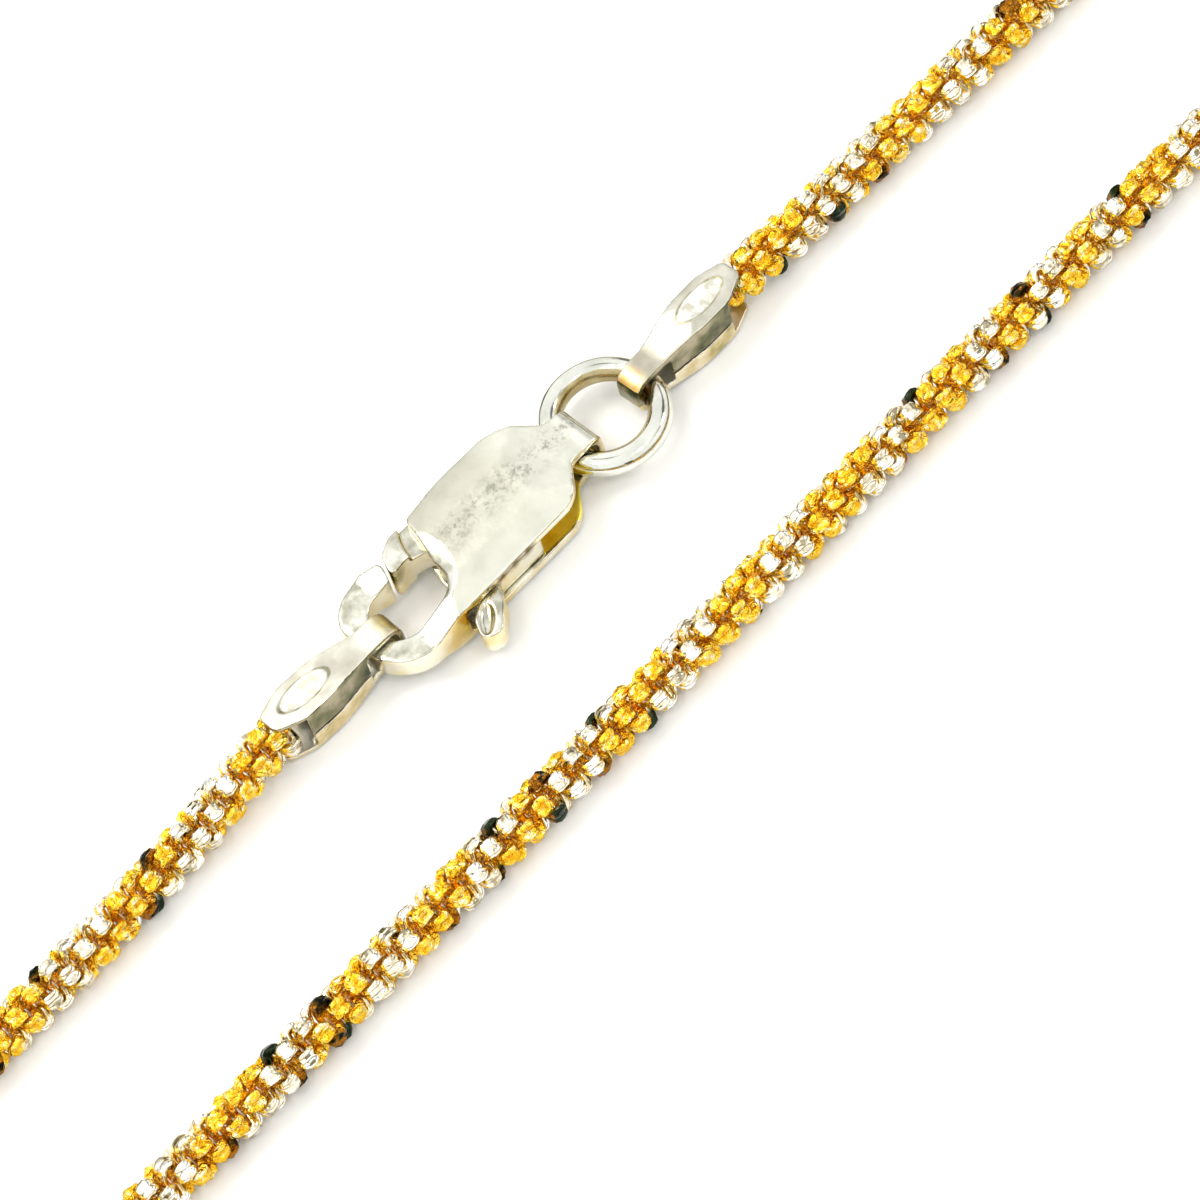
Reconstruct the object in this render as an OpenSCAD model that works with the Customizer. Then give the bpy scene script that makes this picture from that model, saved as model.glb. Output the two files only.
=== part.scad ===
// Popcorn chain necklace lying closed on a surface, with end caps, jump ring and lobster clasp.
// +X runs along the necklace, +Y points to the strand that carries the clasp, z = 0 is the surface.

/* [Chain] */
// Width of the chain over its links
chain_w = 1.8; // [1.6:0.02:1.9]
// How far each end of the chain reaches into its cap
chain_grip = 1.0; // [0.6:0.1:1.6]

/* [End caps] */
// Length of a cap, from its loop to its wide end
cap_len = 6.3; // [5.9:0.1:6.4]
// Width of the leaves at the chain
cap_w = 1.85; // [1.6:0.05:2]
// Width of the loop
cap_loop_w = 1.15; // [1:0.05:1.3]
// Height over both leaves at the chain
cap_h = 2.5; // [2.4:0.05:2.7]
// Height over the loop
cap_loop_h = 1.8; // [1.75:0.05:1.9]
// Thickness of the folded sheet
leaf_t = 0.3; // [0.25:0.01:0.32]

/* [Jump ring] */
// Outer diameter of the ring
ring_d = 5.3; // [5.2:0.05:5.35]
// Diameter of its wire
ring_wire = 1.0; // [0.7:0.05:1.05]

/* [Clasp] */
// Height over both plates
clasp_h = 2.4; // [2.3:0.05:2.5]
// Thickness of each plate
plate_t = 0.6; // [0.5:0.05:0.65]
// Width across the plates
clasp_w = 4.9; // [4.7:0.05:5.1]
// Height of the hook where the cap hangs in it
hook_h = 1.05; // [0.9:0.05:1.1]
// Height of the hole through the folded neck
neck_hole_h = 1.2; // [1.1:0.05:1.25]
// Diameter of the pivot pin
pin_d = 0.8; // [0.6:0.05:0.9]

/* [Lever] */
// Thickness of the lever between the plates
lever_t = 1.1; // [0.9:0.05:1.12]
// Thickness of the gate's nose
nose_t = 1.7; // [1.5:0.05:1.8]

/* [Hidden] */

$fn = 48;
arc_step = 12;
silver = [0.86, 0.86, 0.83];
gold = [0.93, 0.72, 0.32];
past = 1;

// Where the clasp and the ring lie, and the height at which ring, hook and loops meet
clasp_y = 4.98;
mid_z = clasp_h / 2;
ring_at = [5.92, 4.92];
ring_r = (ring_d - ring_wire) / 2;

// Where the two caps' loops end, and which way each cap points from there
cap_left_at = [-5.68, 4.72];
cap_left_turn = 178;
cap_right_at = [7.05, 4.75];
cap_right_turn = 2;

// The necklace's line, from the left cap round the left end, along the plain strand,
// round the right end and back to the right cap
route_z = chain_w / 2;
grip_z = cap_h / 2;
ROUTE = [
    [-11.95 + chain_grip, 4.9, grip_z],
    [-13, 4.85, grip_z],
    [-17, 4.6, route_z + 0.02],
    [-24, 4.3, route_z],
    [-34, 4.6, route_z],
    [-45, 7.1, route_z],
    [-56, 12.1, route_z],
    [-66.2, 17.4, route_z],
    [-77.2, 20, route_z],
    [-88.2, 17.4, route_z],
    [-95.5, 10, route_z],
    [-98.2, 0, route_z],
    [-95.5, -10, route_z],
    [-88.2, -17.4, route_z],
    [-77.2, -20, route_z],
    [-66.2, -17.4, route_z],
    [-56, -12.1, route_z],
    [-45, -7.3, route_z],
    [-34, -5.1, route_z],
    [-20, -4.75, route_z],
    [0, -4.6, route_z],
    [20, -4.5, route_z],
    [34, -5, route_z],
    [45, -7.2, route_z],
    [56, -12.1, route_z],
    [66.2, -17.4, route_z],
    [77.2, -20, route_z],
    [88.2, -17.4, route_z],
    [95.5, -10, route_z],
    [98.2, 0, route_z],
    [95.5, 10, route_z],
    [88.2, 17.4, route_z],
    [77.2, 20, route_z],
    [66.2, 17.4, route_z],
    [56, 12.1, route_z],
    [45, 7.2, route_z],
    [34, 4.9, route_z],
    [25, 4.85, route_z],
    [18, 5, route_z + 0.02],
    [14.4, 5, grip_z],
    [13.35 - chain_grip, 5, grip_z]
];
middle = 20;
chain_sides = 8;
rings_per_step = 2;

// The clasp, seen from above, about its own centre line. Rows are x, y, corner radius.
half_w = clasp_w / 2;
hook_in = 1.1;
hook_out = 1.95;
neck_half = 1;
neck_tip_x = 5;
CLASP = [
    [neck_tip_x, neck_half, 0.15],
    [3.85, neck_half, 0.8],
    [2.6, half_w + 0.15, 2.4],
    [-0.8, half_w + 0.07, 3],
    [-2.45, half_w - 0.2, 0.35],
    [-2.65, 1.35, 0.3],
    [-3, 0.2, 0.6],
    [-3.2, -1.35, 1.1],
    [-6.4, -1.35, hook_in],
    [-6.4, 1.05, hook_in],
    [-4.6, 0.95, 0.12],
    [-4.26, 1.75, 0.3],
    [-5.1, 2.2, 0.6],
    [-7.28, 1.75, hook_out - 0.45],
    [-7.28, -2.4, hook_out],
    [2.3, -half_w + 0.15, 1.5],
    [3.35, -neck_half, 0.6],
    [neck_tip_x, -neck_half, 0.15]
];

// The clasp, seen from the side. Rows are x, height above the middle, corner radius,
// for the upper half, from the neck's fold to the hook's end.
neck_r = 0.9;
CLASP_SIDE = [
    [neck_tip_x, 0, 0],
    [neck_tip_x, neck_r, 0.6],
    [4.1, neck_r + 0.02, 1],
    [1.6, clasp_h / 2, 3],
    [-3.5, clasp_h / 2, 1.2],
    [-5.3, hook_h / 2 + 0.03, 0.8],
    [-7.28, hook_h / 2, 0.3],
    [-7.28, 0, 0]
];

// Crown of the plates, and the bevel round the hook's opening
crown_r = 9;
crown_flat = 0.06;
bevel_at = [-4.7, 0.45];
bevel_r = 2.35;
bevel_foot_r = 1.75;
bevel_depth = 0.3;

// The slot between the plates, from the root of the hook to the neck
slot_from = -3.75;
slot_to = 2.9;
slot_h = clasp_h - 2 * plate_t;
neck_hole_from = 2.6;
neck_hole_to = 4.7;

// The lever turns on the pin. Its plan runs over the boss to the gate's nose, back under the
// gate, out round the thumb tab and along the flank that closes the slot.
pivot = [-0.9, 0.7];
pin_play = 0.05;
pin_seat = 0.2;
seat_play = 0.02;
end_play = 0.01;
nose_from_r = 2.5;
LEVER = [
    [0.1, 1.85, 0.9],
    [-2.2, 2.3, 0.6],
    [-3.3, 2.32, 0.8],
    [-4.05, 1.95, 0.3],
    [-4.48, 0.93, 0.2],
    [-3.6, 1.12, 1.2],
    [-2.75, 0.85, 0.5],
    [-2, -0.3, 0.6],
    [-2.5, -1.9, 0.5],
    [-3.75, -2.65, 0.3],
    [-4.2, -3.6, 0.4],
    [-3.35, -3.85, 0.4],
    [-2.4, -2.95, 0.6],
    [-1.95, -2.15, 0.4],
    [0.45, -2.15, 0.3],
    [0.8, 0.3, 0.8]
];

// A dish in the thumb tab, as long and as wide as this
dish_at = [-3.42, -3.0];
dish_long = 1.5;
dish_wide = 0.6;
dish_depth = 0.18;

// A cap, seen from above with its loop at x = 0. Rows are x, y, corner radius, for one half.
CAP = [
    [0, cap_loop_w / 2, 0.12],
    [1.5, cap_loop_w / 2, 1.5],
    [3.7, cap_w / 2, 1.3],
    [5.1, cap_w / 2, 1.1],
    [cap_len, cap_w / 4, 0.4]
];

// A cap, seen from the side. Rows are x, height above the middle, corner radius, for one half.
CAP_SIDE = [
    [0, 0, 0],
    [0, cap_loop_h / 2, 0.7],
    [1.6, cap_loop_h / 2, 1.2],
    [3.7, cap_h / 2, 1.6],
    [cap_len, cap_h / 2, 0.1],
    [cap_len, 0, 0]
];
CAP_INSIDE = [
    [leaf_t, 0, 0],
    [leaf_t, cap_loop_h / 2 - leaf_t, 0.3],
    [1.65, cap_loop_h / 2 - leaf_t, 1.2],
    [3.7, cap_h / 2 - leaf_t, 1.6],
    [cap_len + past, cap_h / 2 - leaf_t, 0],
    [cap_len + past, 0, 0]
];
// The hollow of a cap, seen from above: open sides round the loop and where the chain goes in,
// and curled-down sides between them, which meet at a seam.
curl_half = 0.6;
pocket_from = cap_len - chain_grip - 0.25;
CAP_HOLLOW = [
    [0, 2 * cap_w, 0],
    [1.8, 2 * cap_w, 0],
    [1.8, curl_half, 0.2],
    [pocket_from, curl_half, 0.2],
    [pocket_from, 2 * cap_w, 0],
    [cap_len + past, 2 * cap_w, 0]
];
seam_from = 1.5;
seam_z = -0.3;
seam_h = 0.14;
leaf_crown_r = 3.2;
panel_x = 4.4;
panel_long = 1.2;
panel_wide = 0.5;
panel_depth = 0.05;

// Corner rounding: p and s are the neighbours of corner q
function unit(v) = v / norm(v);
function corner(p, q, s, r) =
    let (
        u = unit(p - q),
        v = unit(s - q),
        half = acos(max(-1, min(1, u * v))) / 2,
        centre = q + unit(u + v) * r / sin(half),
        first = q + u * r / tan(half) - centre,
        last = q + v * r / tan(half) - centre,
        start = atan2(first.y, first.x),
        sweep = (atan2(last.y, last.x) - start + 540) % 360 - 180,
        steps = max(1, ceil(abs(sweep) / arc_step))
    )
    [for (i = [0:steps]) let (a = start + sweep * i / steps) centre + r * [cos(a), sin(a)]];
function flat(row) = [row.x, row.y];
function rounded(rows) =
    let (n = len(rows))
    [for (i = [0:n - 1])
        let (row = rows[i])
        each row[2] == 0
            ? [flat(row)]
            : corner(flat(rows[(i + n - 1) % n]), flat(row), flat(rows[(i + 1) % n]), row[2])];

// The lower half of a symmetric outline, from its upper half
function mirrored(rows) =
    concat(rows, [for (i = [len(rows) - 1:-1:0]) if (rows[i].y != 0) [rows[i].x, -rows[i].y, rows[i][2]]]);

// Smooth line through the route's points
function on_curve(a, b, c, d, t) =
    b + (c - a) * t / 2 + (2 * a - 5 * b + 4 * c - d) * t * t / 2 + (3 * b - a - 3 * c + d) * t * t * t / 2;
function smooth(points, steps) =
    let (n = len(points))
    [for (i = [0:n - 2], k = [0:i == n - 2 ? steps : steps - 1])
        on_curve(points[max(i - 1, 0)], points[i], points[i + 1], points[min(i + 2, n - 1)], k / steps)];

// Tube along a stretch of a line, with a flat side down
function heading(line, i) = unit(line[min(i + 1, len(line) - 1)] - line[max(i - 1, 0)]);
function tube_ring(line, i, r) =
    let (ahead = heading(line, i), side = unit(cross([0, 0, 1], ahead)), up = cross(ahead, side))
    [for (k = [0:chain_sides - 1])
        let (a = 360 * (k + 0.5) / chain_sides)
        line[i] + r * (cos(a) * side + sin(a) * up)];
module tube(line, from, to) {
    n = chain_sides;
    count = to - from + 1;
    corner_r = chain_w / 2 / cos(180 / n);
    points = [for (i = [from:to]) each tube_ring(line, i, corner_r)];
    walls = [for (i = [0:count - 2], k = [0:n - 1])
        [i * n + k, (i + 1) * n + k, (i + 1) * n + (k + 1) % n, i * n + (k + 1) % n]];
    near = [[for (k = [0:n - 1]) k]];
    far = [[for (k = [n - 1:-1:0]) (count - 1) * n + k]];
    polyhedron(points, concat(near, walls, far));
}

line = [for (p = smooth(ROUTE, rings_per_step)) [p.x, p.y, max(p.z, route_z)]];

module chain_left() {
    color(gold)
        tube(line, 0, middle * rings_per_step);
}

module chain_right() {
    color(gold)
        tube(line, middle * rings_per_step, len(line) - 1);
}

// Extrudes a side view through the width of its piece
module side_extrude(rows) {
    rotate([90, 0, 0])
        linear_extrude(clasp_w * 2, center = true)
            polygon(rounded(mirrored(rows)));
}

// Long crown over one side of a piece
module crown(r, top, from, to) {
    translate([from, 0, top - r])
        rotate([0, 90, 0])
            cylinder(r = r, h = to - from, $fn = 180);
}

// Folded cap with its loop at x = 0, its wide end along +X and its middle at z = 0
module end_cap() {
    difference() {
        intersection() {
            linear_extrude(cap_h * 2, center = true)
                polygon(rounded(mirrored(CAP)));
            side_extrude(CAP_SIDE);
            crown(leaf_crown_r, cap_h / 2, -past, cap_len + past);
            mirror([0, 0, 1])
                crown(leaf_crown_r, cap_h / 2, -past, cap_len + past);
        }
        intersection() {
            side_extrude(CAP_INSIDE);
            linear_extrude(cap_h * 2, center = true)
                polygon(rounded(mirrored(CAP_HOLLOW)));
        }
        translate([seam_from, -cap_w, seam_z])
            cube([cap_len, 2 * cap_w, seam_h]);
        translate([panel_x, 0, cap_h / 2 - panel_depth])
            linear_extrude(past)
                polygon([for (a = [0:arc_step:359]) [panel_long * cos(a), panel_wide * sin(a)]]);
    }
}

module end_cap_left() {
    color(silver)
        translate([cap_left_at.x, cap_left_at.y, cap_h / 2])
            rotate([0, 0, cap_left_turn])
                end_cap();
}

module end_cap_right() {
    color(silver)
        translate([cap_right_at.x, cap_right_at.y, cap_h / 2])
            rotate([0, 0, cap_right_turn])
                end_cap();
}

module jump_ring() {
    color(silver)
        translate([ring_at.x, ring_at.y, mid_z])
            rotate_extrude()
                translate([ring_r, 0])
                    circle(d = ring_wire);
}

// The clasp's full block: plan, side view and crowned plates
module clasp_form() {
    intersection() {
        linear_extrude(clasp_h * 2, center = true)
            polygon(rounded(CLASP));
        side_extrude(CLASP_SIDE);
        crown(crown_r, clasp_h / 2 + crown_flat, -8, 6);
        mirror([0, 0, 1])
            crown(crown_r, clasp_h / 2 + crown_flat, -8, 6);
    }
}

// Bevel round the hook's opening, in the upper plate
module bevel() {
    translate([bevel_at.x, bevel_at.y, clasp_h / 2 - bevel_depth])
        cylinder(r1 = bevel_foot_r, r2 = bevel_r, h = bevel_depth + end_play);
}

module clasp_body() {
    color(silver)
        translate([0, clasp_y, mid_z])
            difference() {
                clasp_form();
                translate([slot_from, -clasp_w, -slot_h / 2])
                    cube([slot_to - slot_from, 2 * clasp_w, slot_h]);
                rotate([90, 0, 0])
                    linear_extrude(clasp_w, center = true)
                        polygon(rounded([
                            [neck_hole_from, -neck_hole_h / 2, 0.3],
                            [neck_hole_to, -neck_hole_h / 2, 0.45],
                            [neck_hole_to, neck_hole_h / 2, 0.45],
                            [neck_hole_from, neck_hole_h / 2, 0.3]
                        ]));
                translate([pivot.x, pivot.y, 0])
                    cylinder(d = pin_d + 2 * seat_play, h = slot_h + 2 * pin_seat, center = true);
                bevel();
                mirror([0, 0, 1])
                    bevel();
            }
}

module clasp_pin() {
    color(silver)
        translate([pivot.x, clasp_y + pivot.y, mid_z])
            cylinder(d = pin_d, h = slot_h + 2 * (pin_seat - end_play), center = true);
}

module clasp_lever() {
    color(silver)
        translate([0, clasp_y, mid_z])
            difference() {
                union() {
                    linear_extrude(lever_t, center = true)
                        polygon(rounded(LEVER));
                    linear_extrude(nose_t, center = true)
                        difference() {
                            polygon(rounded(LEVER));
                            translate(pivot)
                                circle(nose_from_r);
                            translate([-clasp_w * 2, -clasp_w * 2])
                                square([clasp_w * 4, clasp_w * 2]);
                        }
                }
                translate([pivot.x, pivot.y, 0])
                    cylinder(d = pin_d + 2 * pin_play, h = 2 * clasp_h, center = true);
                translate([dish_at.x, dish_at.y, lever_t / 2])
                    rotate([0, 0, 45])
                        scale([dish_long / 2, dish_wide / 2, dish_depth])
                            sphere(1);
            }
}

chain_left();
chain_right();
end_cap_left();
end_cap_right();
jump_ring();
clasp_body();
clasp_pin();
clasp_lever();
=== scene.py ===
# Popcorn chain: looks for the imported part. Lengths are in millimetres unless a name ends in _M.
import math

import bpy
import numpy as np
from mathutils import Matrix, Vector


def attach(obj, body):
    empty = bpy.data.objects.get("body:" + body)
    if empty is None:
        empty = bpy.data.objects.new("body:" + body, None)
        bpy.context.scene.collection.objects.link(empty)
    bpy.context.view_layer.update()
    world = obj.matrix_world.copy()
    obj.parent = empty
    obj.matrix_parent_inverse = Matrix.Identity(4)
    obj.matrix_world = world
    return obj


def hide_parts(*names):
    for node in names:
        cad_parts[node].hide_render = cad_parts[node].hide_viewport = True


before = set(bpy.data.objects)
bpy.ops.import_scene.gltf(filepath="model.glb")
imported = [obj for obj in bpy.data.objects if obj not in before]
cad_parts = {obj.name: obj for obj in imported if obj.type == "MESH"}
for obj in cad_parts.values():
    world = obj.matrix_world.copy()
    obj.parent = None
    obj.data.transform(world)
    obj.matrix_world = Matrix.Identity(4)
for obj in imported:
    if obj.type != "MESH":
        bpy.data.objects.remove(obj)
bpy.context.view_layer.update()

MM = 0.001
SEED = 20

# Camera: the photograph's viewing angle, with a long lens
CAMERA_AZIMUTH = -30.0
CAMERA_ELEVATION = 57.5
CAMERA_ROLL = 19.0
CAMERA_DISTANCE = 200.0
CAMERA_AIM = (0.0, -0.47, 1.05)
CAMERA_NEAREST = 1.0
CAMERA_FARTHEST_M = 20.0
VIEW_WIDTH = 44.44
SENSOR = 36.0

# Lights, each at an azimuth and an elevation: the key, and sparks for the glints on the links
LIGHT_DISTANCE = 400.0
KEY_AT = (205.0, 55.0)
KEY_SIZE = 240.0
KEY_POWER = 0.7
KEY_COLOUR = (1.0, 0.97, 0.92)
SPARKS_AT = [(-75.0, 62.0), (15.0, 60.0), (70.0, 40.0), (-130.0, 45.0)]
SPARK_SIZE = 60.0
SPARK_POWER = 0.12
SPARK_COLOUR = (1.0, 1.0, 1.0)

# The white tent that the metal mirrors: its colours from bottom to top, the dark gaps between its
# screens by noise, and the plain white that the camera sees instead
TENT_STRENGTH = 1.25
TENT_COLOURS = [
    (0.50, (0.10, 0.08, 0.02)), (0.57, (0.24, 0.20, 0.08)), (0.65, (1.0, 1.0, 1.0)),
    (1.0, (1.0, 1.0, 1.0)),
]
SCREEN_SCALE = 2.2
SCREEN_COLOURS = [(0.34, (0.15, 0.15, 0.15)), (0.42, (1.0, 1.0, 0.98))]
SEEN_WHITE = (1.0, 1.0, 1.0, 1.0)

# The floor: its size, its surface, and its colours by a broad noise
FLOOR_HALF_M = 4.0
FLOOR_ROUGHNESS = 0.9
FLOOR_SHINE = 0.1
FLOOR_SCALE = 0.02
FLOOR_COLOURS = [(0.3, (0.90, 0.90, 0.89)), (0.7, (0.93, 0.93, 0.92))]

# The route of the chain, as in the part's source: from the left end cap round to the right one.
# The two halves meet at the middle point.
ROUTE_Z = 0.9
GRIP_Z = 1.25
ROUTE = [
    (-10.95, 4.9, GRIP_Z), (-13, 4.85, GRIP_Z), (-17, 4.6, 0.92), (-24, 4.3, ROUTE_Z),
    (-34, 4.6, ROUTE_Z), (-45, 7.1, ROUTE_Z), (-56, 12.1, ROUTE_Z), (-66.2, 17.4, ROUTE_Z),
    (-77.2, 20, ROUTE_Z), (-88.2, 17.4, ROUTE_Z), (-95.5, 10, ROUTE_Z), (-98.2, 0, ROUTE_Z),
    (-95.5, -10, ROUTE_Z), (-88.2, -17.4, ROUTE_Z), (-77.2, -20, ROUTE_Z),
    (-66.2, -17.4, ROUTE_Z), (-56, -12.1, ROUTE_Z), (-45, -7.3, ROUTE_Z), (-34, -5.1, ROUTE_Z),
    (-20, -4.75, ROUTE_Z), (0, -4.6, ROUTE_Z), (20, -4.5, ROUTE_Z), (34, -5, ROUTE_Z),
    (45, -7.2, ROUTE_Z), (56, -12.1, ROUTE_Z), (66.2, -17.4, ROUTE_Z), (77.2, -20, ROUTE_Z),
    (88.2, -17.4, ROUTE_Z), (95.5, -10, ROUTE_Z), (98.2, 0, ROUTE_Z), (95.5, 10, ROUTE_Z),
    (88.2, 17.4, ROUTE_Z), (77.2, 20, ROUTE_Z), (66.2, 17.4, ROUTE_Z), (56, 12.1, ROUTE_Z),
    (45, 7.2, ROUTE_Z), (34, 4.9, ROUTE_Z), (25, 4.85, ROUTE_Z), (18, 5, 0.92),
    (14.4, 5, GRIP_Z), (12.35, 5, GRIP_Z),
]
ROUTE_STEPS = 40
MIDDLE_POINT = 20

# Where the gold side of the twisted chain faces the camera, as places along X, and the angle
# round the chain at which its silver side then lies, away from the camera
GOLD_LEFT = [-12.4, -19.6, -26.6]
GOLD_FRONT = [-24, -18.4, -13, -8.1, -2.9, 3.1, 8.3, 14.5, 18.7, 22.2, 25.6]
GOLD_RIGHT = [22.8, 14.6]
SILVER_ANGLE_CLASP_SIDE = 241.1
SILVER_ANGLE_FRONT = 298.9
TURN_LENGTH = 6.0

# Places on the clasp and the ring, as in the part's source
CLASP_Y = 4.98
MID_Z = 1.2
PLATE_FROM_Z = 1.75
BEVEL_AT = (-4.7, 5.43)
BEVEL_R = 2.3
SLOT_HALF = 0.66
SLOT_SIDE = 2.12
SLOT_FROM = 0.0
SLOT_TO = 3.4
RING_AT = (5.92, 4.92)
CAP_LEFT_AT = (-5.68, 4.72)
CAP_LEFT_TURN = 178.0
CAP_RIGHT_AT = (7.05, 4.75)
CAP_RIGHT_TURN = 2.0
PANEL_X = 4.4
PANEL_LONG = 1.2
PANEL_WIDE = 0.5
SEAM_Z = 1.0
LOOP_TIP_Z = 2.0

# Which faces of a fitting are level, upright or inward, by their normal's share up or inwards
LEVEL_FROM = 0.9
UPRIGHT_TO = 0.5
CAP_UPRIGHT_TO = 0.55
INWARD_FROM = 0.55

# How far each round of easing moves a fitting's points towards the middle of their neighbours
EASE = 0.5

# Colours of the links' metals, as stops of a noise value and a colour
GOLD_COLOURS = [
    (0.36, (0.88, 0.44, 0.01)), (0.48, (1.0, 0.64, 0.04)), (0.57, (1.0, 0.77, 0.14)),
    (0.64, (1.0, 0.95, 0.66)),
]
# Painted shade down between the links and in the gold ends' dimples
GOLD_PAINTED_SHADE_COLOURS = [(0.3, (0.64, 0.30, 0.01)), (0.7, (1.0, 0.52, 0.03))]
# Painted dark reflections on the gold of some links
GOLD_PAINTED_DARK_REFLECTION_COLOURS = [
    (0.40, (0.006, 0.008, 0.004)), (0.46, (0.06, 0.035, 0.01)), (0.53, (0.36, 0.14, 0.01)),
]
CUT_COLOURS = [
    (0.36, (0.36, 0.31, 0.20)), (0.43, (0.74, 0.66, 0.50)), (0.49, (0.84, 0.77, 0.60)),
    (0.57, (0.92, 0.91, 0.89)),
]
# Painted shade down between the links, on the cut silver
CUT_PAINTED_SHADE_COLOURS = [(0.3, (0.60, 0.48, 0.18)), (0.7, (0.90, 0.80, 0.50))]
# Painted dark reflections on the cut silver of some links
CUT_PAINTED_DARK_REFLECTION_COLOURS = [(0.3, (0.006, 0.010, 0.006)), (0.7, (0.04, 0.055, 0.03))]

# Colours of the fittings' metals, in the same form
PLATE_COLOURS = [(0.30, (0.50, 0.48, 0.40)), (0.5, (0.56, 0.55, 0.46)), (0.7, (0.60, 0.59, 0.51))]
PLATE_GREY_COLOURS = [(0.3, (0.14, 0.15, 0.11)), (0.7, (0.24, 0.25, 0.19))]
# Painted light on the plate towards the tab
PLATE_PAINTED_LIGHT_BY_TAB_COLOURS = [(0.3, (0.66, 0.66, 0.57)), (0.7, (0.74, 0.74, 0.65))]
PLATE_BY_NECK_COLOURS = [(0.3, (0.70, 0.70, 0.61)), (0.7, (0.84, 0.84, 0.76))]
BRIGHT_COLOURS = [(0.38, (0.40, 0.39, 0.31)), (0.48, (0.56, 0.55, 0.46)), (0.60, (0.74, 0.74, 0.66))]
# Painted warm reflection on the upright faces of the clasp and lever
SIDE_PAINTED_WARM_REFLECTION_COLOURS = [(0.38, (0.72, 0.55, 0.24)), (0.5, (0.84, 0.73, 0.48)), (0.62, (0.86, 0.82, 0.68))]
# Painted reflection of the gold chain in the slot
SLOT_PAINTED_GOLD_REFLECTION_COLOURS = [(0.35, (0.85, 0.64, 0.04)), (0.6, (1.0, 0.84, 0.14))]
LEAF_COLOURS = [(0.35, (0.44, 0.41, 0.33)), (0.5, (0.53, 0.51, 0.43)), (0.65, (0.66, 0.64, 0.56))]
# Painted light: the left cap's upper leaf lighter than the right cap's
LEFT_LEAF_PAINTED_LIGHTER = 1.3
PANEL_COLOURS = [(0.38, (0.60, 0.58, 0.48)), (0.56, (0.92, 0.92, 0.87))]
PANEL_OUTLINE_COLOURS = [(0.35, (0.26, 0.24, 0.14)), (0.6, (0.52, 0.50, 0.40))]
# Painted shade on a cap's upright faces above its seam
CAP_SIDE_PAINTED_SHADE_COLOURS = [
    (0.36, (0.06, 0.07, 0.035)), (0.50, (0.20, 0.19, 0.10)), (0.64, (0.40, 0.35, 0.24)),
]
# Painted warm reflection on a cap's upright faces below its seam
CAP_UNDER_PAINTED_WARM_REFLECTION_COLOURS = [
    (0.36, (0.46, 0.40, 0.16)), (0.48, (0.74, 0.60, 0.34)), (0.60, (0.88, 0.80, 0.58)),
]
RING_COLOURS = [(0.3, (0.62, 0.63, 0.56)), (0.7, (0.84, 0.84, 0.79))]
# Painted shade on the inner side of the ring's wire
RING_INSIDE_PAINTED_SHADE_COLOURS = [(0.35, (0.30, 0.22, 0.07)), (0.65, (0.62, 0.54, 0.34))]

# Noise: its middle range, how much finer roughness varies than colour, and bumps a millimetre
NOISE_MIDDLE = (0.3, 0.7)
ROUGH_FINER = 2
PAINTED_SHADE_SCALE = 2.0
DARK_REFLECTION_SCALE = 1.5
PANEL_SCALE = 2.2
OUTLINE_SCALE = 2.0

# The panel's bright field and its outline, as where each ends, in shares of the oval
PANEL_EDGE = (0.90, 0.96)
OUTLINE_EDGE = (1.04, 1.12)

# The plate: grey grain along its middle, painted light that pales it towards the tab, and paler towards the
# neck
GREY_MIDDLE_Y = 5.2
GREY_BAND = (0.1, 1.0)
GREY_SCALE = 3.2
GREY_EDGE = (0.47, 0.64)
GREY_SHARE = 0.9
GREY_SPOT_SCALE = 2.0
PALE_SCALE = 1.0
TAB_SIDE = (0.3, -2.2)
TAB_SHARE = 0.8
NECK_X = (0.8, 2.4)
NECK_SHARE = 0.9

# Stains: the full part of their radius, their broken edge, how far they lighten, and their noises
STAIN_CORE = 0.4
STAIN_EDGE = (0.30, 0.45)
STAIN_LIGHTER = 1.6
STAIN_EDGE_SCALE = 2.5
STAIN_SCALE = 3.0

# Colours of stains
BROWN = (0.22, 0.12, 0.02)
GOLD_BROWN = (0.56, 0.38, 0.04)
OLIVE = (0.16, 0.13, 0.02)
DARK_BROWN = (0.10, 0.065, 0.015)
SEAM_DARK = (0.05, 0.04, 0.03)
LOOP_TINT_LEFT = (0.50, 0.40, 0.16)
LOOP_TINT_RIGHT = (0.78, 0.45, 0.14)

# Stained places, and the radius of the stains at each cap's loop and along the crack by the tab
LOOP_RADIUS = 1.0
CRACK_RADIUS = 0.55
TAB_ROOT = (-3.1, 2.7, 1.3)
GATE_NOTCH = (-4.35, 6.3, 1.6)
SLOT_END = (3.4, 3.48, 1.2)
RING_AND_CAP = (7.5, 4.6, 1.2)
RING_SEAM = (8.3, 3.95, 1.2)
CRACK = [(-2.6, 2.8, 1.9), (-1.8, 2.8, 1.85), (-1.1, 2.8, 1.85), (-0.4, 2.8, 1.85)]

# Stains of each metal: place, radius and colour
BRIGHT_STAINS = [(TAB_ROOT, 0.5, GOLD_BROWN), (GATE_NOTCH, 0.5, OLIVE)]
SIDE_STAINS = [
    (TAB_ROOT, 1.7, GOLD_BROWN), (RING_AND_CAP, 1.3, BROWN), (GATE_NOTCH, 0.7, OLIVE),
    *((place, CRACK_RADIUS, DARK_BROWN) for place in CRACK),
]
SLOT_STAINS = [(SLOT_END, 1.0, OLIVE)]
RING_STAINS = [(RING_AND_CAP, 1.1, BROWN), (RING_SEAM, 0.3, SEAM_DARK)]
RING_INSIDE_STAINS = [(RING_AND_CAP, 1.1, BROWN)]

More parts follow.
